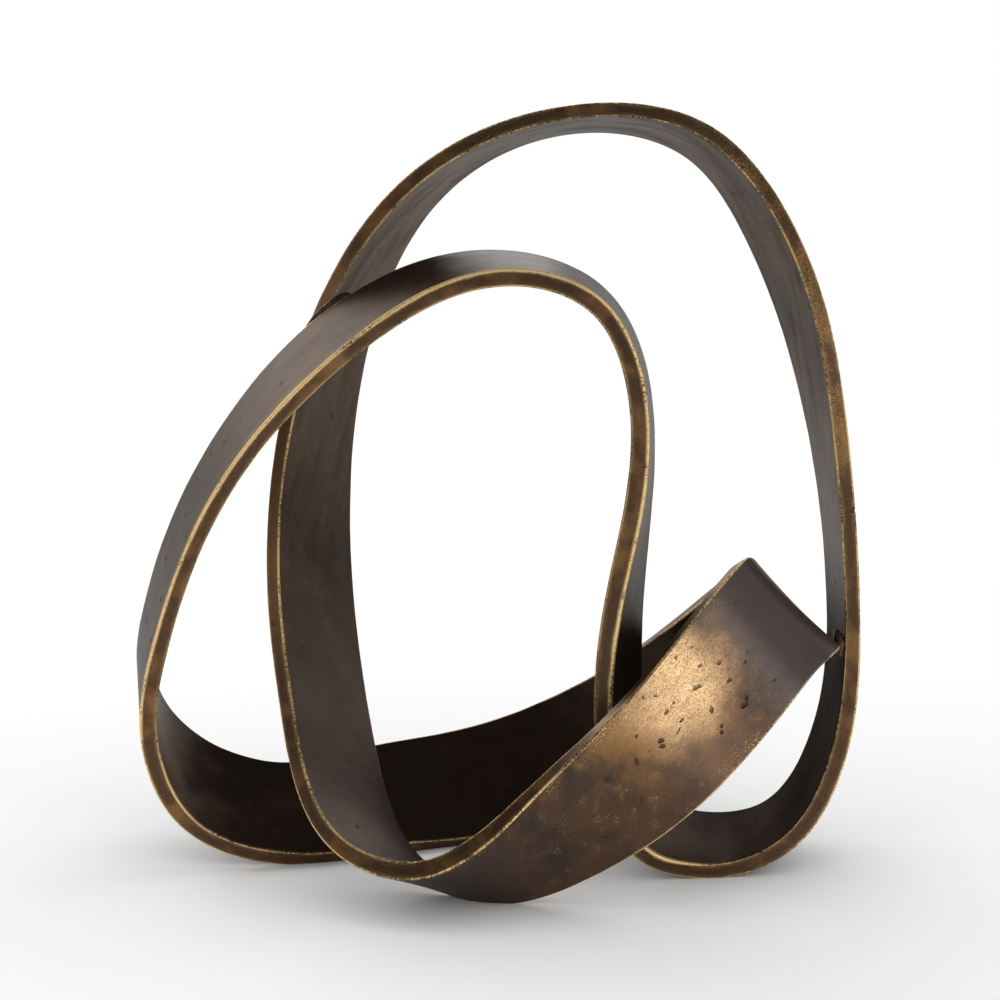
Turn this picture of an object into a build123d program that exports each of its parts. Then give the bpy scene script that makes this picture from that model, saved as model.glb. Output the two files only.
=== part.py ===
from build123d import *
import math
import os

import numpy as np

# Metal knot sculpture: one flat cast bronze band that runs once through a loose knot and closes on
# itself with a half twist, so that it has a single face and a single edge.
# The front is -Y, the back +Y, and the knot stands on the plane z = 0. Millimetres.

# Driving dimensions of the knot and its band
knot_height = 320.0
band_width = 55.0
band_thickness = 8.0
arris = 1.0
grind_depth = 0.5

# The flat key hidden inside each seam, half of it in each of the two castings
key_width = 28.0
key_thickness = 3.0
key_length = 14.0
key_bevel = 0.4
key_clearance = 0.05

# The two beads of weld metal where strands of the knot meet
shoulder_weld_radius = 5.5
shoulder_weld_length = 30.0
shoulder_weld_below = 6.5
tip_weld_radius = 4.0
tip_weld_length = 14.0
weld_bevel = 1.5

# The profiles that each casting is drawn through stand this far apart
profile_step = 10.0

# The knot is drawn on a grid: this many squares to the knot's height and to the band's width
height_squares = 320
width_squares = 55
square = knot_height / height_squares
layer = band_width / width_squares

# Where the band rests, its height follows from its own width, thickness and tilt
ON_TABLE = None

# Stations along the band's middle line, in the order of its run. Each row holds the place: across and
# up in squares of the height, depth in squares of the width. Then comes the way from the band's first
# edge to its second, as a turn from the depth axis towards +X and a rise, in degrees. The last value
# swells the thickness, which the founder left uneven.
stations = [
    # across, depth, up, turn, rise, swell
    (-84, 33, ON_TABLE, 8, 28, 1.10),  # 0, left foot
    (-125, 31, 28, 8, 18, 1.10),  # 1, corner of the left foot
    (-146, 26, 62, -5, 8, 1.00),  # 2, left side, low
    (-142, 19, 102, -8, 11, 0.95),  # 3, left side
    (-112, 2, 174, -5, 13, 0.88),  # 4, shoulder
    (-58, -8, 234, -3, 12, 0.90),  # 5, top of the shoulder
    (6, -8, 258, 2, 0, 1.00),  # 6, top of the front arch
    (41, -7, 246, 2, -3, 1.00),  # 7, turn of the front arch
    (61, -5, 195, 4, 0, 1.05),  # 8, top of the inner leg
    (55, -2, 125, 12, 1, 1.10),  # 9, inner leg
    (53, 3, 60, 15, 5, 1.00),  # 10, inner leg, low
    (69, 14, 14, 5, 7, 1.00),  # 11, start of the right foot
    (89, 18, ON_TABLE, -1, 7, 1.00),  # 12, right foot
    (121, 20, 14, -4, -1, 1.00),  # 13, turn of the right foot
    (141, 23, 44, -3, -4, 1.00),  # 14, right side, low
    (148, 29, 114, -3, -6, 0.90),  # 15, right side
    (140, 36, 187, -7, -7, 0.90),  # 16, right side, high
    (115, 43, 267, -12, -11, 0.85),  # 17, right of the crown
    (84, 46, 304, -4, -15, 0.85),  # 18, turn of the crown
    (45, 47, 313, 2, -13, 0.80),  # 19, top of the crown
    (-26, 50, 286, 10, -12, 0.85),  # 20, left of the crown
    (-65, 49, 221, 21, -15, 0.85),  # 21, behind the shoulder
    (-77, 24, 134, 33, -17, 0.90),  # 22, left leg
    (-68, -13, 66, 37, -20, 0.95),  # 23, left leg, low
    (-47, -41, 22, 30, -19, 1.00),  # 24, bend of the heel
    (-23, -53, ON_TABLE, 18, -25, 1.05),  # 25, heel
    (1, -57, ON_TABLE, 22, -40, 1.05),  # 26, start of the front sweep
    (25, -55, 33, 46, -45, 1.00),  # 27, front sweep, low
    (62, -47, 60, 76, -48, 1.00),  # 28, front sweep
    (94, -33, 92, 88, -47, 1.00),  # 29, front sweep, high
    (117, -17, 116, 86, -46, 1.00),  # 30, tip
    (122, 1, 114, 84, -46, 1.00),  # 31, back of the tip
    (109, 25, 95, 85, -46, 1.00),  # 32, start of the rear rise
    (53, 59, 43, 125, -44, 1.00),  # 33, rear rise
    (-17, 55, ON_TABLE, 162, -41, 1.00),  # 34, rear rise, low
    (-50, 44, ON_TABLE, 162, -35, 1.03),  # 35, end of the left foot
]
round_trip = len(stations)

# The castings, each from one seam to the next, in station numbers. The last runs past the start.
castings = {
    "left_side": (2.0, 4.2),
    "front_arch": (4.2, 8.2),
    "inner_leg": (8.2, 11.2),
    "right_foot": (11.2, 15.5),
    "right_side": (15.5, 17.5),
    "crown": (17.5, 19.7),
    "left_leg": (19.7, 22.3),
    "heel": (22.3, 27.5),
    "front_sweep": (27.5, 32.4),
    "rear_rise": (32.4, 34.5),
    "left_foot": (34.5, round_trip + 2.0),
}
# The castings whose underside is ground flat to stand on
ground_flat = ("left_foot", "right_foot", "heel", "rear_rise")


def resting_height(rise, swell):
    """Height of the middle line where the band's lower arris is ground flat on the table."""
    tilt = math.radians(abs(rise))
    corner = band_width / 2 * math.sin(tilt) + band_thickness / 2 * swell * math.cos(tilt)
    return corner - arris * math.sin(tilt) - grind_depth


def station_place(row):
    across, depth, up, turn, rise, swell = row
    height = resting_height(rise, swell) if up is ON_TABLE else up * square
    return across * square, depth * layer, height


def station_across(row):
    turn, rise = math.radians(row[3]), math.radians(row[4])
    return math.sin(turn) * math.cos(rise), math.cos(turn) * math.cos(rise), math.sin(rise)


places = np.array([station_place(row) for row in stations])
directions = np.array([station_across(row) for row in stations])
swells = np.array([[row[5]] for row in stations])
gaps = np.linalg.norm(np.roll(places, -1, axis=0) - places, axis=1)
knots = np.append(0.0, np.cumsum(gaps))


class ClosedCurve:
    """Smooth closed curve through one value per station; sign -1 brings the value back reversed."""

    def __init__(self, values, sign):
        self.sign = sign
        self.values = np.vstack([values, values[:1] * sign])
        count = len(values)
        matrix = np.zeros((count, count))
        pull = np.zeros_like(values, dtype=float)
        for i in range(count):
            before, after = gaps[i - 1], gaps[i]
            left = self.values[i - 1] if i else values[-1] * sign
            matrix[i, i] = 2 * (before + after)
            matrix[i, i - 1] += before * (sign if i == 0 else 1)
            matrix[i, (i + 1) % count] += after * (sign if i == count - 1 else 1)
            pull[i] = 6 * ((self.values[i + 1] - values[i]) / after - (values[i] - left) / before)
        bends = np.linalg.solve(matrix, pull)
        self.bends = np.vstack([bends, bends[:1] * sign])

    def at(self, station):
        """Value and rate of change at a station number, which may run past the last station."""
        lap, rest = divmod(station, round_trip)
        i = int(rest)
        b = rest - i
        a = 1 - b
        gap = gaps[i]
        first, second = self.values[i], self.values[i + 1]
        bend, next_bend = self.bends[i], self.bends[i + 1]
        value = a * first + b * second
        value = value + ((a**3 - a) * bend + (b**3 - b) * next_bend) * gap**2 / 6
        rate = (second - first) / gap
        rate = rate + ((3 * b**2 - 1) * next_bend - (3 * a**2 - 1) * bend) * gap / 6
        flip = self.sign if lap % 2 else 1
        return value * flip, rate * flip


middle_line = ClosedCurve(places, 1)
across_way = ClosedCurve(directions, -1)
swelling = ClosedCurve(swells, 1)


def band_frame(station):
    """Middle of the band there, the way along it, the way across it and its thickness."""
    centre, along = middle_line.at(station)
    along = along / np.linalg.norm(along)
    across, _ = across_way.at(station)
    across = across - along * (across @ along)
    across = across / np.linalg.norm(across)
    swell, _ = swelling.at(station)
    return centre, along, across, band_thickness * float(swell[0])


def band_plane(station):
    centre, along, across, _ = band_frame(station)
    return Plane(origin=tuple(centre), x_dir=tuple(across), z_dir=tuple(along))


def profile_stations(start, end):
    """Station numbers of the profiles from seam to seam, evenly spaced along the band."""
    numbers = np.arange(2 * round_trip + 1)
    lengths = np.append(knots, knots[1:] + knots[-1])
    first, last = np.interp([start, end], numbers, lengths)
    count = math.ceil((last - first) / profile_step)
    return np.interp(np.linspace(first, last, count + 1), lengths, numbers)


# The castings: each is lofted through the band's profile and slotted at both ends for its keys
slot_depth = key_length / 2 + key_clearance
cast = {}
for name, (start, end) in castings.items():
    with BuildPart() as casting:
        for station in profile_stations(start, end):
            with BuildSketch(band_plane(station)) as profile:
                Rectangle(band_width, band_frame(station)[3])
                chamfer(profile.vertices(), arris)
        loft()
        for seam, inward in ((start, 1), (end, -1)):
            with BuildSketch(band_plane(seam)):
                Rectangle(key_width + 2 * key_clearance, key_thickness + 2 * key_clearance)
            extrude(amount=inward * slot_depth, mode=Mode.SUBTRACT)
        if name in ground_flat:
            split(bisect_by=Plane.XY, keep=Keep.TOP)
    casting.part.label = name
    cast[name] = casting.part

# The keys: one flat tongue to a seam, at the start of the casting that it is named after
keys = {}
for name, (start, end) in castings.items():
    with BuildPart() as key:
        with BuildSketch(band_plane(start).offset(-key_length / 2)):
            Rectangle(key_width, key_thickness)
        extrude(amount=key_length)
        chamfer(key.edges(), key_bevel)
    key.part.label = name + "_key"
    keys[name] = key.part


def edge_points(start, end, side):
    """Points on both corners of one edge of the band, side -1 for its first edge and 1 for its second."""
    points = []
    for station in np.linspace(start, end, 60):
        centre, along, across, thickness = band_frame(station)
        edge = centre + across * side * band_width / 2
        through = np.cross(along, across) * thickness / 2
        points += [edge - through, edge + through]
    return np.array(points)


def meeting_plane(one, other):
    """Plane in the middle of the narrowest gap between two edges, square to the first edge."""
    reach = np.linalg.norm(one[2:-2, None] - other[None], axis=2)
    i, j = np.unravel_index(reach.argmin(), reach.shape)
    middle = (one[i + 2] + other[j]) / 2
    return Plane(origin=tuple(middle), z_dir=tuple(one[i + 4] - one[i]))


# The shoulder weld: a bead up along the front arch's rear edge from where the left leg's front edge meets it
shoulder_meeting = meeting_plane(edge_points(4.4, 5.4, 1), edge_points(20.4, 21.6, -1))
with BuildPart() as shoulder_weld:
    with BuildSketch(shoulder_meeting.offset(-shoulder_weld_below)):
        Circle(shoulder_weld_radius)
    extrude(amount=shoulder_weld_length)
    chamfer(shoulder_weld.edges().filter_by(GeomType.CIRCLE), weld_bevel)
    add(cast["front_arch"], mode=Mode.SUBTRACT)
    add(cast["left_leg"], mode=Mode.SUBTRACT)
shoulder_weld.part.label = "shoulder_weld"

# The tip weld: a bead along the right side's front edge where the corner of the folded tip meets it
tip_meeting = meeting_plane(edge_points(14.2, 15.3, -1), edge_points(30.4, 31.8, 1))
with BuildPart() as tip_weld:
    with BuildSketch(tip_meeting.offset(-tip_weld_length / 2)):
        Circle(tip_weld_radius)
    extrude(amount=tip_weld_length)
    chamfer(tip_weld.edges().filter_by(GeomType.CIRCLE), weld_bevel)
    add(cast["right_foot"], mode=Mode.SUBTRACT)
    add(cast["front_sweep"], mode=Mode.SUBTRACT)
tip_weld.part.label = "tip_weld"

os.makedirs("parts", exist_ok=True)
for part in [*cast.values(), *keys.values(), shoulder_weld.part, tip_weld.part]:
    export_step(part, "parts/" + part.label + ".step")
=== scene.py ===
import math

import bpy
import numpy as np
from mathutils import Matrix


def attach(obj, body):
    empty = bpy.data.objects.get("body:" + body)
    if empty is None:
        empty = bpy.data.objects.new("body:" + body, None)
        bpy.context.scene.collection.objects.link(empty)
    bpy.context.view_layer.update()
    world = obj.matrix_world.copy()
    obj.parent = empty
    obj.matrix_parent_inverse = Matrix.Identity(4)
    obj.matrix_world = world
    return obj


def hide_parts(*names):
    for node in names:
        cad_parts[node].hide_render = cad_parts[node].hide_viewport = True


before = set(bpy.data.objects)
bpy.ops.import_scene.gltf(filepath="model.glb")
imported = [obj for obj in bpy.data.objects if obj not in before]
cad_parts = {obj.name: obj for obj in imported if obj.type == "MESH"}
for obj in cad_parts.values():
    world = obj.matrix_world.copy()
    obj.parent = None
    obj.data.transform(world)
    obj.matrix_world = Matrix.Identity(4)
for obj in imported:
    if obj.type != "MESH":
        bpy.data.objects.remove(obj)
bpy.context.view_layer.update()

# The run of the band: a flat bronze strip that goes once round a loose knot and closes on itself with a
# half twist. Its line is smooth from station to station, as wax bends over a form, and its lower arris is
# ground flat where a station stands on the table. Sizes are in millimetres, as on the maker's drawing.
PER_METRE = 1000
BAND_WIDTH = 55.0
BAND_THICKNESS = 8.0
ARRIS = 1.0
GRIND_DEPTH = 0.5
ON_TABLE = None
STATIONS = [
    # across, depth, up, turn and rise of the way across the band, swell of its thickness
    (-84, 33, ON_TABLE, 8, 28, 1.10),
    (-125, 31, 28, 8, 18, 1.10),
    (-146, 26, 62, -5, 8, 1.00),
    (-142, 19, 102, -8, 11, 0.95),
    (-112, 2, 174, -5, 13, 0.88),
    (-58, -8, 234, -3, 12, 0.90),
    (6, -8, 258, 2, 0, 1.00),
    (41, -7, 246, 2, -3, 1.00),
    (61, -5, 195, 4, 0, 1.05),
    (55, -2, 125, 12, 1, 1.10),
    (53, 3, 60, 15, 5, 1.00),
    (69, 14, 14, 5, 7, 1.00),
    (89, 18, ON_TABLE, -1, 7, 1.00),
    (121, 20, 14, -4, -1, 1.00),
    (141, 23, 44, -3, -4, 1.00),
    (148, 29, 114, -3, -6, 0.90),
    (140, 36, 187, -7, -7, 0.90),
    (115, 43, 267, -12, -11, 0.85),
    (84, 46, 304, -4, -15, 0.85),
    (45, 47, 313, 2, -13, 0.80),
    (-26, 50, 286, 10, -12, 0.85),
    (-65, 49, 221, 21, -15, 0.85),
    (-77, 24, 134, 33, -17, 0.90),
    (-68, -13, 66, 37, -20, 0.95),
    (-47, -41, 22, 30, -19, 1.00),
    (-23, -53, ON_TABLE, 18, -25, 1.05),
    (1, -57, ON_TABLE, 22, -40, 1.05),
    (25, -55, 33, 46, -45, 1.00),
    (62, -47, 60, 76, -48, 1.00),
    (94, -33, 92, 88, -47, 1.00),
    (117, -17, 116, 86, -46, 1.00),
    (122, 1, 114, 84, -46, 1.00),
    (109, 25, 95, 85, -46, 1.00),
    (53, 59, 43, 125, -44, 1.00),
    (-17, 55, ON_TABLE, 162, -41, 1.00),
    (-50, 44, ON_TABLE, 162, -35, 1.03),
]
ROUND_TRIP = len(STATIONS)
FIRST_SEAM = 2.0
RULER_MARKS = 20000


def station_place(across, depth, up, turn, rise, swell):
    """Middle of the band at a station; one on the table is as high as its tilted section needs."""
    if up is ON_TABLE:
        tilt = math.radians(abs(rise))
        up = BAND_WIDTH / 2 * math.sin(tilt) + BAND_THICKNESS / 2 * swell * math.cos(tilt)
        up -= ARRIS * math.sin(tilt) + GRIND_DEPTH
    return across, depth, up


def station_across(across, depth, up, turn, rise, swell):
    """The way across the band at a station."""
    turn = math.radians(turn)
    rise = math.radians(rise)
    return math.sin(turn) * math.cos(rise), math.cos(turn) * math.cos(rise), math.sin(rise)


places = np.array([station_place(*row) for row in STATIONS], float)
directions = np.array([station_across(*row) for row in STATIONS])
swells = np.array([row[5:] for row in STATIONS])
gaps = np.linalg.norm(np.roll(places, -1, axis=0) - places, axis=1)


class ClosedCurve:
    """Smooth closed curve through one value per station; sign -1 brings the value back reversed."""

    def __init__(self, values, sign):
        count = len(values)
        self.sign = sign
        self.values = np.vstack([values, values[:1] * sign])
        matrix = np.zeros((count, count))
        pull = np.zeros_like(values)
        for i in range(count):
            before, after = gaps[i - 1], gaps[i]
            left = values[i - 1] if i else values[-1] * sign
            matrix[i, i] = 2 * (before + after)
            matrix[i, i - 1] += before * (sign if i == 0 else 1)
            matrix[i, (i + 1) % count] += after * (sign if i == count - 1 else 1)
            pull[i] = 6 * ((self.values[i + 1] - values[i]) / after - (values[i] - left) / before)
        bends = np.linalg.solve(matrix, pull)
        self.bends = np.vstack([bends, bends[:1] * sign])

    def at(self, stations):
        """Values and rates of change at station numbers, which may run past the last station."""
        lap, rest = np.divmod(stations, ROUND_TRIP)
        i = rest.astype(int)
        b = (rest - i)[:, None]
        a = 1 - b
        gap = gaps[i][:, None]
        value = a * self.values[i] + b * self.values[i + 1]
        value += ((a**3 - a) * self.bends[i] + (b**3 - b) * self.bends[i + 1]) * gap**2 / 6
        rate = (self.values[i + 1] - self.values[i]) / gap
        rate += ((3 * b**2 - 1) * self.bends[i + 1] - (3 * a**2 - 1) * self.bends[i]) * gap / 6
        flip = np.where(lap % 2, self.sign, 1)[:, None]
        return value * flip, rate * flip


middle_line = ClosedCurve(places, 1)
across_way = ClosedCurve(directions, -1)
swelling = ClosedCurve(swells, 1)


def unit(vectors):
    return vectors / np.linalg.norm(vectors, axis=1, keepdims=True)


def band_frame(stations):
    """Middle of the band, the way across it, the way through it and its thickness, for station numbers."""
    centre, along = middle_line.at(stations)
    along = unit(along)
    across = across_way.at(stations)[0]
    across = unit(across - along * np.sum(across * along, axis=1, keepdims=True))
    return centre, across, np.cross(along, across), BAND_THICKNESS * swelling.at(stations)[0][:, 0]


# A ruler along the band, which turns station numbers into millimetres of its run and back.
ruler_stations = np.linspace(0, ROUND_TRIP + FIRST_SEAM, RULER_MARKS)
ruler_steps = np.linalg.norm(np.diff(middle_line.at(ruler_stations)[0], axis=0), axis=1)
ruler_runs = np.append(0, np.cumsum(ruler_steps))


# The castings: eleven lengths of the band, cast in bronze, keyed and brazed end to end and dressed flush.
# Their faces keep a slight hand-worked waviness and small gas pits, and their arrises are eased with a file.
# The dark brown patina is rubbed through to gold on the arrises and on the front sweep, where a highlight is
# painted in too; some stretches carry painted light and the hollows carry painted shade.
class Value:
    """An output of a node; arithmetic on it adds Math nodes to the same tree."""

    def __init__(self, tree, socket):
        self.tree = tree
        self.socket = socket

    def math(self, operation, *others):
        sockets = dict(enumerate([self, *others]))
        return add_node(self.tree, "ShaderNodeMath", {"operation": operation}, sockets)[0]

    def __add__(self, other):
        return self.math("ADD", other)

    def __sub__(self, other):
        return self.math("SUBTRACT", other)

    def __mul__(self, other):
        return self.math("MULTIPLY", other)

    def __truediv__(self, other):
        return self.math("DIVIDE", other)

    def __pow__(self, other):
        return self.math("POWER", other)

    def __rsub__(self, other):
        return self.math("MULTIPLY_ADD", -1.0, other)

    def __neg__(self):
        return self.math("MULTIPLY", -1.0)

    __radd__ = __add__
    __rmul__ = __mul__

    def larger(self, other):
        return self.math("MAXIMUM", other)

    def step(self, low, high):
        """Rises smoothly from 0 at low to 1 at high; low may be the larger one."""
        settings = {"interpolation_type": "SMOOTHSTEP"}
        sockets = {"Value": self, "From Min": low, "From Max": high}
        if low > high:
            sockets.update({"From Min": high, "From Max": low, "To Min": 1.0, "To Max": 0.0})
        return add_node(self.tree, "ShaderNodeMapRange", settings, sockets)["Result"]

    def stretch(self, start, full, fade, end):
        """Rises from 0 at start to 1 at full, and falls from 1 at fade to 0 at end."""
        return self.step(start, full) * self.step(end, fade)


class Outputs:
    """A node's outputs by name or number."""

    def __init__(self, tree, node):
        self.tree = tree
        self.node = node

    def __getitem__(self, key):
        return Value(self.tree, self.node.outputs[key])


def add_node(tree, kind, settings=None, sockets=None):
    """Adds a node, sets its settings first and then the values or links of its sockets."""
    node = tree.nodes.new(kind)
    for key, setting in (settings or {}).items():
        setattr(node, key, setting)
    for key, value in (sockets or {}).items():
        if isinstance(value, Value):
            tree.links.new(value.socket, node.inputs[key])
        else:
            node.inputs[key].default_value = value
    return Outputs(tree, node)


def combined(x, y, z):
    return add_node(x.tree, "ShaderNodeCombineXYZ", {}, {0: x, 1: y, 2: z})[0]


def separated(vector):
    return add_node(vector.tree, "ShaderNodeSeparateXYZ", {}, {0: vector})


def vector_math(operation, first, second, key=1):
    return add_node(first.tree, "ShaderNodeVectorMath", {"operation": operation}, {0: first, key: second})[0]


def scaled(vector, amount):
    return vector_math("SCALE", vector, amount, "Scale")


def noise(vector, scale, detail=2.0, roughness=0.5):
    sockets = {"Vector": vector, "Scale": scale, "Detail": detail, "Roughness": roughness}
    return add_node(vector.tree, "ShaderNodeTexNoise", {}, sockets)[0]


def geometry_tree(name, inputs, output):
    """An empty geometry tree with named inputs and one geometry as its output."""
    tree = bpy.data.node_groups.new(name, "GeometryNodeTree")
    for label, kind in inputs.items():
        tree.interface.new_socket(label, in_out="INPUT", socket_type="NodeSocket" + kind)
    tree.interface.new_socket(output, in_out="OUTPUT", socket_type="NodeSocketGeometry")
    return tree


def worked(shape, kind, sockets=None, settings=None):
    """Passes a geometry through one more node."""
    return add_node(shape.tree, kind, settings, {"Geometry": shape, **(sockets or {})})["Geometry"]


def end_tree(shape, bronze):
    """Ends a geometry tree with instances made real, one material and the output."""
    shape = worked(shape, "GeometryNodeRealizeInstances")
    shape = worked(shape, "GeometryNodeSetMaterial", {"Material": bronze})
    add_node(shape.tree, "NodeGroupOutput", {}, {0: shape})


def point_count(geometry):
    sockets = {"Geometry": geometry}
    return add_node(geometry.tree, "GeometryNodeAttributeDomainSize", {}, sockets)["Point Count"]


def sampled(geometry, name, index, kind="FLOAT"):
    """A number or vector stored on one point of a geometry."""
    settings = {"data_type": kind}
    stored = add_node(geometry.tree, "GeometryNodeInputNamedAttribute", settings, {"Name": name})[0]
    sockets = {"Geometry": geometry, "Value": stored, "Index": index}
    return add_node(geometry.tree, "GeometryNodeSampleIndex", settings, sockets)[0]


def pit_bowl(pits, here):
    """The nearest pit at a place in the straightened band: its share of full depth, and how deep it goes."""
    sockets = {"Geometry": pits, "Sample Position": here}
    nearest = add_node(here.tree, "GeometryNodeSampleNearest", {}, sockets)[0]
    apart = separated(vector_math("SUBTRACT", here, sampled(pits, "position", nearest, "FLOAT_VECTOR")))
    aside = apart[1] + apart[2]
    lean = sampled(pits, "lean", nearest)
    length = sampled(pits, "half_length", nearest)
    width = sampled(pits, "half_width", nearest)
    down = (apart[0] * lean.math("COSINE") + aside * lean.math("SINE")) / length
    over = (aside * lean.math("COSINE") - apart[0] * lean.math("SINE")) / width
    ragged = -0.5 + 3.2 * noise(here, 620.0)
    bowl = (1.0 - (down * down + over * over) * ragged).larger(0.0) ** 0.5
    return bowl, bowl * sampled(pits, "depth", nearest)


def sweep_tree():
    """Geometry tree that draws a ring of the band's section along a guide and sinks the pits into it."""
    inputs = {
        "Guide": "Geometry",
        "Section": "Object",
        "Pits": "Object",
        "Wave depth": "Float",
        "Wave count": "Float",
        "Ripple depth": "Float",
        "Ripple count": "Float",
        "Bronze": "Material",
    }
    tree = geometry_tree("Band sweep", inputs, "Casting")
    given = add_node(tree, "NodeGroupInput")
    guide = given["Guide"]
    section = add_node(tree, "GeometryNodeObjectInfo", {}, {"Object": given["Section"]})["Geometry"]
    pits = add_node(tree, "GeometryNodeObjectInfo", {}, {"Object": given["Pits"]})["Geometry"]
    rings = point_count(guide)
    sides = point_count(section)
    sockets = {"Vertices": sides, "Side Segments": rings - 1.0, "Radius": 1.0, "Depth": 2.0}
    tube = add_node(tree, "GeometryNodeMeshCylinder", {"fill_type": "NGON"}, sockets)
    part = separated(add_node(tree, "GeometryNodeInputPosition")[0])
    ring = ((part[2] + 1.0) * 0.5 * (rings - 1.0)).math("ROUND")
    share = part[1].math("ARCTAN2", part[0]) / (2 * math.pi)
    side = (share * sides).math("ROUND").math("FLOORED_MODULO", sides)

    centre = sampled(guide, "position", ring, "FLOAT_VECTOR")
    across = sampled(guide, "across", ring, "FLOAT_VECTOR")
    through = sampled(guide, "through", ring, "FLOAT_VECTOR")
    run = sampled(guide, "run", ring)
    flat = separated(sampled(section, "position", side, "FLOAT_VECTOR"))
    outward = separated(sampled(section, "outward", side, "FLOAT_VECTOR"))
    deep = flat[1] * sampled(guide, "swell", ring)
    first_half = (-flat[0] / (BAND_WIDTH / 2 / PER_METRE)).larger(0.0)
    lap = flat[0] + sampled(guide, "drawn_in", ring) * first_half
    surface = vector_math("ADD", centre, scaled(across, lap))
    surface = vector_math("ADD", surface, scaled(through, deep))
    way_out = vector_math("ADD", scaled(across, outward[0]), scaled(through, outward[1]))

    bowl, sunk = pit_bowl(pits, combined(run, flat[0], deep))
    wave = noise(surface, given["Wave count"], 1.0) * given["Wave depth"]
    ripple = noise(surface, given["Ripple count"]) * given["Ripple depth"]
    moved = separated(vector_math("SUBTRACT", surface, scaled(way_out, wave + ripple + sunk)))
    standing = combined(moved[0], moved[1], moved[2].larger(0.0))

    # What the finish needs at each point: run goes along the band, lap across it and deep through it, in mm.
    shape = tube["Mesh"]
    stored = {
        "station": sampled(guide, "station", ring),
        "run": run * PER_METRE,
        "lap": flat[0] * PER_METRE,
        "deep": deep * PER_METRE,
        "face": outward[1],
        "arris": sampled(section, "arris", side),
        "pit": bowl,
    }
    for name, value in stored.items():
        sockets = {"Name": name, "Value": value}
        shape = worked(shape, "GeometryNodeStoreNamedAttribute", sockets, {"domain": "POINT"})
    sockets = {"Selection": tube["Top"].larger(tube["Bottom"]), "Shade Smooth": False}
    for domain in ("FACE", "EDGE"):
        shape = worked(shape, "GeometryNodeSetShadeSmooth", sockets, {"domain": domain})
    shape = worked(shape, "GeometryNodeSetPosition", {"Position": standing})
    end_tree(shape, given["Bronze"])
    return tree


def placed(name, data):
    """An object for some data, linked into the scene."""
    holder = bpy.data.objects.new(name, data)
    bpy.context.scene.collection.objects.link(holder)
    return holder


def point_mesh(name, points, attributes):
    """A mesh of points in a row with named numbers or directions on them, in an object of its own."""
    mesh = bpy.data.meshes.new(name)
    mesh.from_pydata([tuple(point) for point in points], [(i - 1, i) for i in range(1, len(points))], [])
    for key, values in attributes.items():
        values = np.asarray(values, np.float32)
        kind, field = ("FLOAT", "value") if values.ndim == 1 else ("FLOAT_VECTOR", "vector")
        mesh.attributes.new(key, kind, "POINT").data.foreach_set(field, values.ravel())
    return placed(name, mesh)


def grown_piece(name, holder, tree, inputs):
    """Runs a geometry tree on a helper object and keeps the result as a plain mesh."""
    modifier = holder.modifiers.new("Growth", "NODES")
    modifier.node_group = tree
    for socket in tree.interface.items_tree:
        if socket.in_out == "INPUT" and socket.name in inputs:
            modifier[socket.identifier] = inputs[socket.name]
    scene_graph = bpy.context.evaluated_depsgraph_get()
    mesh = bpy.data.meshes.new_from_object(holder.evaluated_get(scene_graph), depsgraph=scene_graph)
    bpy.data.objects.remove(holder)
    return placed(name, mesh)


FILED_RADIUS = 1.3
FACE_STEPS = 60
PITTED_FACE_STEPS = 150
EDGE_STEPS = 6
CORNER_STEPS = 4


def band_section(name, lower_steps):
    """Ring of points round the band's section with filed arrises, in metres."""
    half_width = BAND_WIDTH / 2
    half_depth = BAND_THICKNESS / 2
    points, outward, arris = [], [], []
    corners = [
        (1, 1, 0, half_width, FACE_STEPS),
        (-1, 1, 90, half_depth, EDGE_STEPS),
        (-1, -1, 180, half_width, lower_steps),
        (1, -1, 270, half_depth, EDGE_STEPS),
    ]
    for side, level, start, half, steps in corners:
        middle = np.array([side * (half_width - FILED_RADIUS), level * (half_depth - FILED_RADIUS)])
        for k in range(CORNER_STEPS + 1):
            angle = math.radians(start + 90 * k / CORNER_STEPS)
            way = np.array([math.cos(angle), math.sin(angle)])
            points.append(middle + FILED_RADIUS * way)
            outward.append(way)
            arris.append(FILED_RADIUS * abs(math.radians(90 * k / CORNER_STEPS - 45)))
        length = 2 * (half - FILED_RADIUS)
        ahead = np.array([-way[1], way[0]])
        begin = points[-1]
        for k in range(1, steps):
            done = length * k / steps
            points.append(begin + ahead * done)
            outward.append(way)
            arris.append(min(done, length - done) + FILED_RADIUS * math.pi / 4)
    no_height = np.zeros(len(points))
    flat = np.column_stack([np.array(points) / PER_METRE, no_height])
    ways = np.column_stack([np.array(outward), no_height])
    return point_mesh(name, flat, {"outward": ways, "arris": arris})


# Rings lie closer together where the front sweep has most of its pits. At the folded tip the front edge is
# drawn in, most at TIP_RUN and less with the distance from it.
RING_STEP = 0.9
FINE_RING_STEP = 0.35
PITTED_RUNS = (1524.0, 1625.0)
TIP_RUN = 1655.0
TIP_REACH = 7.0
TIP_ROUNDING = 3.0


def band_guide(name, start, end):
    """Points along the middle of one casting with the band's directions on them, in metres."""
    first, last = np.interp([start, end], ruler_stations, ruler_runs)
    knots = [first, *np.clip(PITTED_RUNS, first, last), last]
    runs = [first]
    for low, high, pace in zip(knots, knots[1:], (RING_STEP, FINE_RING_STEP, RING_STEP)):
        if high > low:
            runs.extend(np.linspace(low, high, math.ceil((high - low) / pace) + 1)[1:])
    runs = np.array(runs)
    stations = np.interp(runs, ruler_runs, ruler_stations)
    centre, across, through, thickness = band_frame(stations)
    numbers = {
        "across": across,
        "through": through,
        "swell": thickness / BAND_THICKNESS,
        "drawn_in": TIP_ROUNDING / PER_METRE * np.exp(-(((runs - TIP_RUN) / TIP_REACH) ** 2)),
        "run": runs / PER_METRE,
        "station": stations,
    }
    return point_mesh(name, centre / PER_METRE, numbers)


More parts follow.
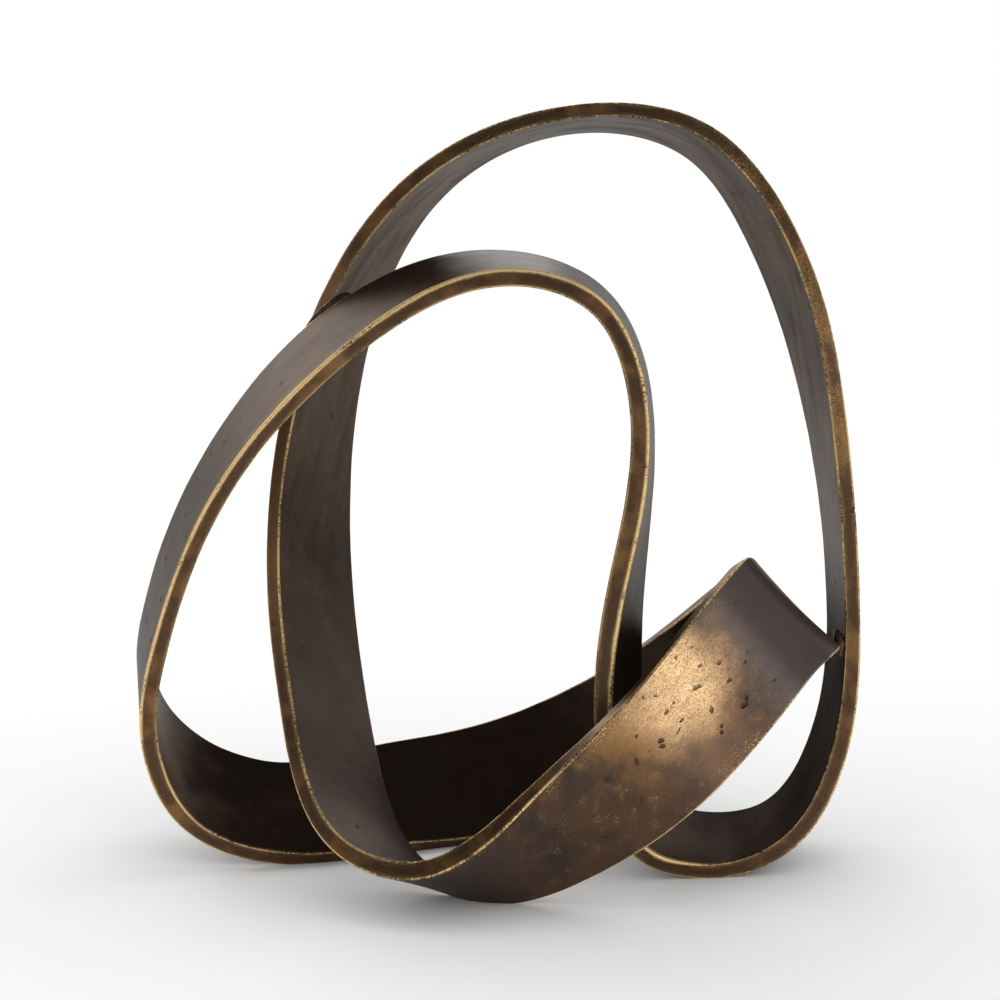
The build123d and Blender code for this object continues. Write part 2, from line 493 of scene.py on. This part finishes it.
FRONT_PITS = [  # heel's end and front sweep: run, lap, half length, half width, lean in radians, depth
    (1596.7, -8.5, 2.1, 0.75, 0.30, 0.37),
    (1570.6, -5.0, 1.3, 0.79, 0.35, 0.34),
    (1569.2, -3.0, 1.3, 0.70, 0.75, 0.29),
    (1594.0, 2.5, 1.4, 0.84, -0.60, 0.29),
    (1580.4, -11.5, 1.4, 0.70, 0.15, 0.29),
    (1557.5, -6.5, 1.5, 0.97, -0.90, 0.29),
    (1582.3, -4.5, 1.3, 0.44, 0.10, 0.17),
    (1578.8, -2.5, 1.4, 0.35, -0.20, 0.15),
    (1611.0, -7.5, 1.0, 0.75, 0.20, 0.25),
    (1608.2, 0.5, 1.4, 0.75, 0.40, 0.27),
    (1604.4, 12.0, 1.5, 0.79, 0.55, 0.22),
    (1607.2, 10.6, 1.2, 0.53, -0.70, 0.20),
    (1592.2, 10.0, 0.9, 0.57, -0.40, 0.20),
    (1590.4, 11.6, 0.9, 0.57, -0.40, 0.20),
    (1577.3, -23.0, 0.7, 0.53, 0.00, 0.20),
    (1582.0, -19.5, 0.9, 0.62, 0.80, 0.20),
    (1600.7, -23.0, 0.8, 0.57, 0.30, 0.20),
    (1608.5, -20.5, 0.7, 0.35, 0.20, 0.15),
    (1585.4, -11.8, 0.9, 0.40, 0.20, 0.17),
    (1605.0, -13.0, 0.8, 0.40, 0.60, 0.15),
    (1564.0, -14.0, 0.8, 0.48, 0.00, 0.17),
    (1549.3, 8.0, 1.4, 0.35, -0.90, 0.17),
    (1543.0, -9.0, 0.9, 0.48, 0.10, 0.17),
    (1620.0, 15.5, 0.8, 0.57, 0.10, 0.12),
    (1618.0, 1.0, 0.9, 0.62, 0.10, 0.10),
    (1632.0, -18.0, 0.6, 0.44, 0.20, 0.12),
    (1529.3, 12.0, 1.0, 0.57, 0.30, 0.17),
    (1529.6, -11.0, 1.1, 0.53, 0.60, 0.17),
]
SIDE_PITS = [  # on the outer face of the left side, in the same order
    (125.0, 6.5, 1.3, 0.70, 0.30, 0.45),
    (129.0, -20.0, 0.9, 0.60, 0.10, 0.40),
    (146.5, -15.5, 1.2, 0.70, -0.40, 0.45),
    (155.0, 4.0, 1.0, 0.60, 0.60, 0.40),
    (179.0, 0.5, 1.1, 0.60, 0.20, 0.40),
    (190.0, 12.5, 0.8, 0.60, -0.20, 0.35),
    (203.0, 13.5, 1.0, 0.50, 0.50, 0.35),
]
EDGE_CHIPS = [  # on the front edge: run, height off the middle, then as above
    (463.5, 1.8, 1.5, 0.60, 0.40, 0.40),
    (840.0, -2.2, 1.4, 0.80, 0.20, 0.55),
    (990.0, 1.6, 1.3, 0.60, -0.50, 0.40),
    (1094.0, 1.2, 1.4, 0.50, 0.30, 0.35),
    (1332.0, -1.4, 1.6, 0.60, 0.40, 0.40),
]
seen_pits = [(run, lap, -BAND_THICKNESS / 2, *size) for run, lap, *size in FRONT_PITS]
seen_pits += [(run, lap, BAND_THICKNESS / 2, *size) for run, lap, *size in SIDE_PITS]
seen_pits += [(run, -BAND_WIDTH / 2, height, *size) for run, height, *size in EDGE_CHIPS]
STRAY_PITS = 6
FIRST_SEED = 40


def casting_pits(name, start, end, seed):
    """Gas pits of one casting, stray and seen ones, as places in the straightened band, in metres."""
    first, last = np.interp([start, end], ruler_stations, ruler_runs)
    chance = np.random.default_rng(seed)
    runs = chance.uniform(first, last, STRAY_PITS)
    laps = chance.uniform(-24, 24, STRAY_PITS)
    heights = np.where(chance.random(STRAY_PITS) < 0.6, 1, -1) * BAND_THICKNESS / 2
    widths = chance.uniform(0.40, 0.75, STRAY_PITS)
    lengths = widths * chance.uniform(1.0, 1.8, STRAY_PITS)
    leans = chance.uniform(-0.7, 0.7, STRAY_PITS)
    rows = np.column_stack([runs, laps, heights, lengths, widths, leans, 0.4 * widths])
    seen = [row for row in seen_pits if first < row[0] < last]
    if seen:
        rows = np.vstack([rows, seen])
    numbers = {
        "half_length": rows[:, 3] / PER_METRE,
        "half_width": rows[:, 4] / PER_METRE,
        "lean": rows[:, 5],
        "depth": rows[:, 6] / PER_METRE,
    }
    return point_mesh(name, rows[:, :3] / PER_METRE, numbers)


def mixed(share, first, second):
    sockets = {0: share, 6: first, 7: second}
    return add_node(share.tree, "ShaderNodeMix", {"data_type": "RGBA"}, sockets)[2]


def bumped(height, strength, distance):
    sockets = {"Strength": strength, "Distance": distance, "Height": height}
    return add_node(height.tree, "ShaderNodeBump", {}, sockets)["Normal"]


def bare_material(name):
    """A material with an empty tree."""
    material = bpy.data.materials.new(name)
    material.use_nodes = True
    material.node_tree.nodes.clear()
    return material


TAWNY = (0.225, 0.118, 0.046, 1.0)
OCHRE = (0.420, 0.260, 0.105, 1.0)
GOLD = (0.850, 0.600, 0.270, 1.0)


class BandSpot:
    """What the finish knows of a spot on the band: where it lies, and noises from clouds to fine flecks."""

    def __init__(self, tree):
        def attribute(name):
            return add_node(tree, "ShaderNodeAttribute", {"attribute_name": name})["Fac"]

        self.arris = attribute("arris")
        self.station = attribute("station")
        self.run = attribute("run")
        self.lap = attribute("lap")
        self.deep = attribute("deep")
        self.pit = attribute("pit")
        face = attribute("face")
        self.narrow = 1.0 - face.math("ABSOLUTE").step(0.35, 0.85)
        self.upper = face.step(0.3, 0.8)
        self.front = (-face).step(0.3, 0.8)
        # The left leg's front edge and the tip's fold get painted light in the patina; the low sweep gets
        # painted light and scuffs.
        front_edge = self.narrow * self.lap.step(-20.0, -26.0)
        self.leg_edge_painted_light = front_edge * self.station.stretch(20.3, 20.9, 22.0, 23.0)
        self.low_sweep = self.front * self.station.step(25.4, 26.8) * self.run.step(1628.0, 1596.0)
        self.tip_fold_painted_light = self.front * self.run.stretch(1600.0, 1632.0, 1672.0, 1692.0)

        self.place = add_node(tree, "ShaderNodeTexCoord")["Object"]
        self.cloud = noise(self.place, 20.0, 4.0, 0.55)
        self.drift = noise(self.place, 55.0, 3.0, 0.55)
        self.mottle = noise(self.place, 160.0, 4.0, 0.6)
        self.grain = noise(self.place, 950.0, 2.0, 0.6)
        self.fleck = noise(self.place, 1900.0, 2.0, 0.6)
        self.brushed = noise(combined(self.run * 0.14, self.lap * 1.5, self.deep * 1.5), 1.0, 3.0, 0.65)
        self.ticks = noise(combined(self.run * 1.6, self.lap * 0.6, self.deep * 0.6), 1.0, 2.0, 0.6)


def patina(spot):
    """Clouded dark brown, redder on the narrow edges, with painted light on some stretches."""
    dark = (0.050, 0.037, 0.030, 1.0)
    warm = (0.105, 0.067, 0.046, 1.0)
    brown = (0.084, 0.046, 0.024, 1.0)
    rubbed = spot.drift.step(0.60, 0.75) * spot.mottle.step(0.48, 0.65)
    heel = spot.upper * spot.station.stretch(22.0, 23.6, 25.0, 26.5)
    left_leg = spot.upper * spot.station.stretch(19.2, 20.4, 21.2, 22.0)
    under_heel_painted_light = spot.front * spot.station.stretch(23.5, 24.5, 26.0, 27.0)
    low_sweep = spot.low_sweep * spot.drift.step(0.32, 0.62)
    tones = [
        (rubbed * 0.15, TAWNY),
        (spot.narrow * 0.9, mixed(spot.drift.step(0.46, 0.72), brown, TAWNY)),
        # Painted light: lighter colours on the left leg's front edge, the heel's upper face, the left leg,
        # the front under the heel, the low sweep (also redder) and the tip's fold stand in for the light and
        # sheen these faces catch; on the fold they lift a dark reflection.
        (spot.leg_edge_painted_light * 0.75, (0.235, 0.130, 0.060, 1.0)),
        (heel * 0.6, (0.170, 0.140, 0.120, 1.0)),
        (left_leg * 0.5, (0.130, 0.092, 0.066, 1.0)),
        (under_heel_painted_light * 0.5, (0.115, 0.088, 0.074, 1.0)),
        (low_sweep * 0.4, (0.118, 0.058, 0.029, 1.0)),
        (spot.tip_fold_painted_light * 0.7, (0.092, 0.074, 0.068, 1.0)),
    ]
    colour = mixed((spot.cloud * 0.6 + spot.drift * 0.4 + spot.mottle * 0.25).step(0.45, 0.85), dark, warm)
    for share, tone in tones:
        colour = mixed(share, colour, tone)
    return colour


def rubbed_and_highlit_sweep(spot, colour):
    """Rubs the front sweep through to bare bronze and paints a highlight on it; gives the colour and how far
    each spot is rubbed and highlit.
    """
    # The bare bronze is made bright enough to act as a painted highlight at the core.
    bare = (0.670, 0.460, 0.250, 1.0)
    drift = spot.drift - 0.5
    mottle = spot.mottle - 0.5
    # reach centres the rubbed patch on the spot where the front lamp's highlight falls, so the colour
    # carries a painted highlight.
    reach = spot.run.stretch(1540.0, 1594.0, 1594.0, 1638.0) * spot.lap.step(24.0, -13.0)
    rub_and_highlight = spot.front * (reach + 0.45 * drift + 0.40 * mottle).step(0.08, 1.02)
    wide = spot.run.stretch(1512.0, 1576.0, 1602.0, 1632.0) * spot.lap.step(18.0, -16.0)
    glow = spot.front * (wide + 0.5 * drift + 0.6 * mottle).step(0.15, 0.85)
    grained = (0.35 * spot.brushed + 0.35 * spot.grain + 0.40 * spot.fleck).step(0.34, 0.68)
    colour = mixed(glow.larger(rub_and_highlight) * 0.7, colour, TAWNY)
    return mixed(rub_and_highlight**1.8 * grained, colour, bare), rub_and_highlight


def gold_lines(spot):
    """The arrises that are worn to gold, wider on the front loop's outer side than on its inner one."""
    front_loop = spot.station.stretch(1.5, 2.5, 11.0, 12.0)
    outer = front_loop * spot.deep.step(-0.5, 0.5)
    inner = front_loop * spot.deep.step(0.5, -0.5)
    distance = spot.arris * (0.10 + 0.8 * spot.drift + 0.8 * spot.ticks) * (1.0 - 0.40 * outer)
    unbroken = (0.6 * spot.cloud + 0.3 * spot.drift + 0.7 * spot.ticks + 0.08 * outer).step(0.68, 0.90)
    return distance.step(1.05, 0.40) * unbroken * (1.0 - 0.35 * inner)


def worn_edges(spot, colour, line):
    """Wears edges and scuffs to ochre and gold; gives the colour and how far each spot is worn."""
    halo = spot.narrow * (spot.arris * (0.4 + 1.2 * spot.drift)).step(2.6, 0.5)
    halo = halo * spot.brushed.step(0.38, 0.62)
    border = spot.lap.step(17.0, 27.0) * spot.run.stretch(1555.0, 1592.0, 1606.0, 1624.0)
    tail = spot.lap.step(-16.0, -27.0) * spot.run.stretch(1430.0, 1475.0, 1612.0, 1640.0)
    flecked = spot.front * border.larger(tail) * spot.fleck.step(0.55, 0.66) * spot.drift.step(0.40, 0.62)
    right_edge = spot.narrow * spot.station.stretch(15.3, 16.2, 17.8, 18.5)
    right_edge = right_edge * spot.fleck.step(0.50, 0.62) * spot.drift.step(0.36, 0.56)
    speck = spot.narrow * spot.fleck.step(0.62, 0.72) * spot.mottle.step(0.45, 0.6)
    scuff = spot.low_sweep * (0.5 * spot.fleck + 0.5 * spot.brushed).step(0.53, 0.62)
    scuff = scuff * spot.mottle.step(0.52, 0.64)
    spill = spot.upper * spot.station.stretch(2.6, 3.6, 4.6, 5.6) * spot.lap.step(-10.0, -20.0)
    spill = spill * (spot.arris * (0.5 + spot.drift)).step(8.0, 0.5)
    spill = spill * (0.5 * spot.brushed + 0.5 * spot.mottle).step(0.38, 0.62)
    worn = halo * 0.45
    for mark in (flecked * 0.9, right_edge * 0.7, speck * 0.5, scuff * 0.7):
        worn = worn.larger(mark)
    colour = mixed(spill * 0.4, colour, OCHRE)
    colour = mixed(worn, colour, mixed(flecked * 0.7, OCHRE, GOLD))
    return mixed(line, colour, GOLD), worn.larger(line)


def painted_shade_share(spot):
    """How far a spot is painted into shade with a near-black matt: most in the feet and the rear rise, less
    on the inner leg and, as streaks of painted reflection, on the tall loop.
    """
    # Painted shade in the feet's hollows and on the rear rise behind the heel; dark streaks of painted
    # reflection on the tall loop.
    foot = spot.station.stretch(11.6, 12.6, 14.6, 15.4) * (0.72 + 0.35 * spot.cloud)
    back = spot.station.stretch(32.2, 33.4, 37.0, 37.8) * (0.85 - 0.55 * spot.cloud.step(0.50, 0.68))
    slant = combined(spot.run * 0.030, spot.lap * 0.11 + spot.run * 0.022, spot.deep * 0.1)
    reflection_streaks = spot.station.stretch(15.3, 16.5, 21.5, 22.5) * noise(slant, 1.0, 4.0, 0.6).step(0.42, 0.66)
    inner_leg = spot.station.stretch(8.0, 9.0, 10.6, 11.2)
    return spot.upper * foot.larger(back).larger(reflection_streaks.larger(inner_leg) * 0.32)


def patinated_bronze():
    """Dark brown patina, rubbed through to gold on the arrises and on the front sweep, with a painted
    highlight on the sweep, painted light on some stretches and painted shade in the hollows.
    """
    black = (0.010, 0.008, 0.006, 1.0)
    material = bare_material("Patinated bronze")
    tree = material.node_tree
    spot = BandSpot(tree)
    line = gold_lines(spot)
    colour, rub_and_highlight = rubbed_and_highlit_sweep(spot, patina(spot))
    colour, worn = worn_edges(spot, colour, line)
    stain = noise(spot.place, 420.0).step(0.70, 0.76) * 0.5
    pit_wall = spot.pit.stretch(0.02, 0.3, 0.5, 0.9) * 0.35
    pit_floor = spot.pit.step(0.2, 0.8) * 0.2
    height = spot.grain * 0.25 + spot.fleck * (0.2 + 0.5 * worn.larger(rub_and_highlight))
    bump = bumped(height + spot.brushed * 0.10 + spot.mottle * 0.5, 0.20, 0.0004)
    sockets = {
        "Base Color": mixed(stain.larger(pit_wall).larger(pit_floor), colour, black),
        # Less metal on the tip's fold and the leg's edge lets their painted light show against the dark
        # reflections.
        "Metallic": 0.98 - 0.18 * spot.narrow - 0.40 * spot.tip_fold_painted_light - 0.25 * line - 0.45 * spot.leg_edge_painted_light,
        "Specular Tint": (0.58, 0.568, 0.552, 1.0),
        "Roughness": 0.31 + 0.12 * spot.mottle - 0.02 * rub_and_highlight + 0.20 * spot.pit,
        "Coat Weight": 0.02,
        "Coat Roughness": 0.30,
        "Normal": bump,
    }
    glossy = add_node(tree, "ShaderNodeBsdfPrincipled", {}, sockets)["BSDF"]
    # A near-black matt, mixed in as painted shade and as dark streaks of painted reflection.
    sockets = {"Color": (0.018, 0.012, 0.009, 1.0), "Roughness": 0.5, "Normal": bump}
    painted_shade_bsdf = add_node(tree, "ShaderNodeBsdfDiffuse", {}, sockets)["BSDF"]
    shader = add_node(tree, "ShaderNodeMixShader", {}, {0: painted_shade_share(spot), 1: glossy, 2: painted_shade_bsdf})[0]
    add_node(tree, "ShaderNodeOutputMaterial", {}, {"Surface": shader})
    return material


CASTING_STARTS = {  # station number of each casting's first seam
    "left_side": FIRST_SEAM,
    "front_arch": 4.2,
    "inner_leg": 8.2,
    "right_foot": 11.2,
    "right_side": 15.5,
    "crown": 17.5,
    "left_leg": 19.7,
    "heel": 22.3,
    "front_sweep": 27.5,
    "rear_rise": 32.4,
    "left_foot": 34.5,
}
PITTED_CASTINGS = ("heel", "front_sweep")
casting_ends = [*CASTING_STARTS.values(), ROUND_TRIP + FIRST_SEAM][1:]
bronze = patinated_bronze()
sweep = sweep_tree()
plain_section = band_section("plain_section", FACE_STEPS)
pitted_section = band_section("pitted_section", PITTED_FACE_STEPS)
for number, (name, start) in enumerate(CASTING_STARTS.items()):
    end = casting_ends[number]
    guide = band_guide(name + "_guide", start, end)
    pits = casting_pits(name + "_pits", start, end, FIRST_SEED + number)
    inputs = {
        "Section": pitted_section if name in PITTED_CASTINGS else plain_section,
        "Pits": pits,
        "Wave depth": 0.0005,
        "Wave count": 34.0,
        "Ripple depth": 0.00018,
        "Ripple count": 105.0,
        "Bronze": bronze,
    }
    casting = grown_piece(name + "_casting", guide, sweep, inputs)
    bpy.data.objects.remove(pits)
    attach(casting, "root")
    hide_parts(name)
for helper in (plain_section, pitted_section):
    bpy.data.objects.remove(helper)


# The keys: a flat bar of bare bronze let into each pair of ends, with a hair of room all round for the
# braze. They lie inside the castings, so they keep the drawing's plain shape and get only a sawn finish.
def metal_finish(material, sockets):
    """Ends a material with one metal shader."""
    shader = add_node(material.node_tree, "ShaderNodeBsdfPrincipled", {}, sockets)["BSDF"]
    add_node(material.node_tree, "ShaderNodeOutputMaterial", {}, {"Surface": shader})
    return material


def key_bronze():
    """Bare bronze with the saw's fine lines across it."""
    material = bare_material("Key bronze")
    place = add_node(material.node_tree, "ShaderNodeTexCoord")["Object"]
    sawn = noise(vector_math("MULTIPLY", place, (2600.0, 300.0, 300.0)), 1.0)
    sockets = {
        "Base Color": mixed(sawn.step(0.35, 0.65), (0.420, 0.250, 0.100, 1.0), (0.560, 0.350, 0.160, 1.0)),
        "Metallic": 1.0,
        "Roughness": 0.30 + 0.15 * sawn,
        "Normal": bumped(sawn, 0.2, 0.0002),
    }
    return metal_finish(material, sockets)


key_stock = key_bronze()
for name in CASTING_STARTS:
    for material_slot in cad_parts[name + "_key"].material_slots:
        material_slot.material = key_stock


# The welds: two short runs of bronze filler, laid drop by drop where the left leg touches the shoulder and
# where the folded tip touches the right side, then brushed and coloured with the rest.
def weld_tree():
    """Geometry tree that melts drops of filler into one bead."""
    inputs = {"Drops": "Geometry", "Fineness": "Float", "Rough depth": "Float", "Bronze": "Material"}
    tree = geometry_tree("Weld bead", inputs, "Bead")
    given = add_node(tree, "NodeGroupInput")
    radius = add_node(tree, "GeometryNodeInputNamedAttribute", {"data_type": "FLOAT"}, {"Name": "size"})[0]
    chain = add_node(tree, "GeometryNodeMeshToCurve", {}, {"Mesh": given["Drops"]})[0]
    sockets = {"Curve": chain, "Length": given["Fineness"] * 2.0}
    chain = add_node(tree, "GeometryNodeResampleCurve", {"mode": "LENGTH"}, sockets)[0]
    drops = add_node(tree, "GeometryNodeCurveToPoints", {"mode": "EVALUATED"}, {"Curve": chain})["Points"]
    sockets = {"Points": drops, "Density": 1.0, "Radius": radius, "Voxel Size": given["Fineness"]}
    volume = add_node(tree, "GeometryNodePointsToVolume", {"resolution_mode": "VOXEL_SIZE"}, sockets)[0]
    sockets = {"Volume": volume, "Voxel Size": given["Fineness"], "Threshold": 0.1}
    bead = add_node(tree, "GeometryNodeVolumeToMesh", {"resolution_mode": "VOXEL_SIZE"}, sockets)[0]
    place = add_node(tree, "GeometryNodeInputPosition")[0]
    way_out = add_node(tree, "GeometryNodeInputNormal")[0]
    sunk = noise(place, 420.0) * given["Rough depth"]
    bead = worked(bead, "GeometryNodeSetPosition", {"Offset": scaled(way_out, -sunk)})
    bead = worked(bead, "GeometryNodeSetShadeSmooth", {"Shade Smooth": True})
    end_tree(bead, given["Bronze"])
    return tree


def weld_bronze():
    """Filler bronze under the same patina, rougher and with a few bright grains."""
    material = bare_material("Weld bronze")
    place = add_node(material.node_tree, "ShaderNodeTexCoord")["Object"]
    mottle = noise(place, 220.0, 4.0, 0.6)
    grain = noise(place, 900.0, 2.0, 0.6)
    colour = mixed(mottle.step(0.35, 0.7), (0.060, 0.038, 0.025, 1.0), (0.160, 0.094, 0.054, 1.0))
    sockets = {
        "Base Color": mixed(grain.step(0.64, 0.74) * 0.25, colour, (0.420, 0.250, 0.110, 1.0)),
        "Metallic": 0.93,
        "Roughness": 0.32 + 0.2 * mottle,
        "Normal": bumped(grain * 0.5 + mottle, 0.35, 0.0006),
    }
    return metal_finish(material, sockets)


WELD_DROPS = {  # across, depth, up and radius of each drop, in mm: root run, middle run, cap run
    "shoulder_weld": [
        (-78.5, 20.8, 220.5, 3.4),
        (-73.0, 20.8, 225.5, 4.3),
        (-67.0, 20.8, 230.0, 4.5),
        (-61.0, 20.8, 234.6, 4.3),
        (-56.0, 20.8, 238.4, 3.4),
        (-57.5, 20.6, 240.6, 2.4),
        (-62.0, 20.8, 237.6, 3.2),
        (-68.0, 20.8, 233.2, 3.3),
        (-74.0, 20.8, 228.4, 2.8),
        (-77.0, 20.9, 228.8, 0.9),
        (-74.5, 20.7, 231.6, 1.6),
        (-71.0, 20.8, 235.0, 2.0),
        (-67.5, 20.9, 238.0, 2.2),
        (-64.0, 20.8, 240.8, 2.1),
        (-61.0, 20.2, 242.6, 1.5),
        (-57.5, 19.6, 242.6, 0.8),
    ],
    "tip_weld": [  # one run is enough here
        (145.2, 1.6, 94.0, 1.0),
        (144.8, 2.0, 97.0, 2.2),
        (144.4, 2.4, 99.5, 2.6),
        (143.8, 3.0, 101.8, 2.3),
        (143.2, 3.6, 103.6, 1.4),
    ],
}
melt = weld_tree()
inputs = {"Fineness": 0.00035, "Rough depth": 0.0005, "Bronze": weld_bronze()}
for name, drops in WELD_DROPS.items():
    rows = np.array(drops) / PER_METRE
    holder = point_mesh(name + "_drops", rows[:, :3], {"size": rows[:, 3]})
    bead = grown_piece(name + "_bead", holder, melt, inputs)
    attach(bead, "root")
    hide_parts(name)

# The table: a plain pale sheet of paper under the knot, in metres, that fades out into the white studio so
# that no far edge shows. It isn't part of the knot.
TABLE_HALF = 1.6
table_mesh = bpy.data.meshes.new("table")
corners = [(x * TABLE_HALF, y * TABLE_HALF, 0) for x, y in ((-1, -1), (1, -1), (1, 1), (-1, 1))]
table_mesh.from_pydata(corners, [], [(0, 1, 2, 3)])
table = placed("table", table_mesh)
paper = bare_material("Pale paper")
tree = paper.node_tree
spot = add_node(tree, "ShaderNodeTexCoord")["Object"]
away = add_node(tree, "ShaderNodeVectorMath", {"operation": "LENGTH"}, {0: spot})["Value"]
sheet = add_node(tree, "ShaderNodeBsdfDiffuse", {}, {"Color": (0.93, 0.93, 0.93, 1.0)})["BSDF"]
clear = add_node(tree, "ShaderNodeBsdfTransparent")["BSDF"]
fading = add_node(tree, "ShaderNodeMixShader", {}, {0: away.step(0.35, 1.2), 1: sheet, 2: clear})[0]
add_node(tree, "ShaderNodeOutputMaterial", {}, {"Surface": fading})
table_mesh.materials.append(paper)

# The studio: white paper behind and beside the knot, a dark ceiling and the dark room towards the camera,
# which the bronze mirrors. A bank of lamps hangs high on the backdrop, and a smaller soft lamp stands to
# the right of the camera. Places and sizes are in metres, powers in watts.
studio = bpy.data.worlds.new("White studio")
bpy.context.scene.world = studio
studio.use_nodes = True
tree = studio.node_tree
tree.nodes.clear()
ray = add_node(tree, "ShaderNodeLightPath")
gaze = separated(add_node(tree, "ShaderNodeTexCoord")["Generated"])
room = (-0.35 * gaze[0] - 0.93 * gaze[1] + 0.10 * gaze[2]).step(0.05, 0.60)
ceiling = 0.68 * gaze[2].step(0.28, 0.66) + 0.22 * gaze[2].step(0.72, 0.95)
mirrored = (0.95 - 0.70 * room - 0.30 * gaze[0].step(0.55, 0.95)) * (1.0 - ceiling)
shine = ray["Is Glossy Ray"].larger(ray["Is Transmission Ray"])
strength = (shine * mirrored + (1.0 - shine)).larger(ray["Is Camera Ray"])
around = add_node(tree, "ShaderNodeBackground", {}, {"Color": (1.0, 1.0, 1.0, 1.0), "Strength": strength})[0]
add_node(tree, "ShaderNodeOutputWorld", {}, {"Surface": around})


def soft_lamp(name, place, aim, width, height, power):
    """A rectangular lamp that looks from its place at its aim."""
    lamp = bpy.data.lights.new(name, "AREA")
    lamp.shape = "RECTANGLE"
    lamp.size = width
    lamp.size_y = height
    lamp.energy = power
    holder = placed(name, lamp)
    way = np.array(aim) - np.array(place)
    level = math.hypot(way[0], way[1])
    holder.location = place
    holder.rotation_euler = (math.atan2(level, -way[2]), 0.0, math.atan2(way[1], way[0]) - math.pi / 2)


soft_lamp("backdrop_bank", (-0.42, 1.30, 0.60), (0.0, 0.0, 0.2), 1.3, 0.55, 4.2)
soft_lamp("front_right", (0.82, -1.07, 0.12), (0.07, -0.04, 0.08), 0.30, 0.24, 2.2)

# The camera of the photograph: a long lens on a stand, a little above the knot, looking slightly down.
# Its place and lens were fitted to the outline of the photographed knot.
lens = bpy.data.cameras.new("photograph")
lens.sensor_width = 36.0
lens.lens = 121.45
camera = placed("photograph", lens)
camera.location = (0.003, -1.3594, 0.44945)
camera.rotation_euler = (math.radians(78.0), 0.0, 0.0)
bpy.context.scene.camera = camera
bpy.context.scene.view_settings.view_transform = "Standard"
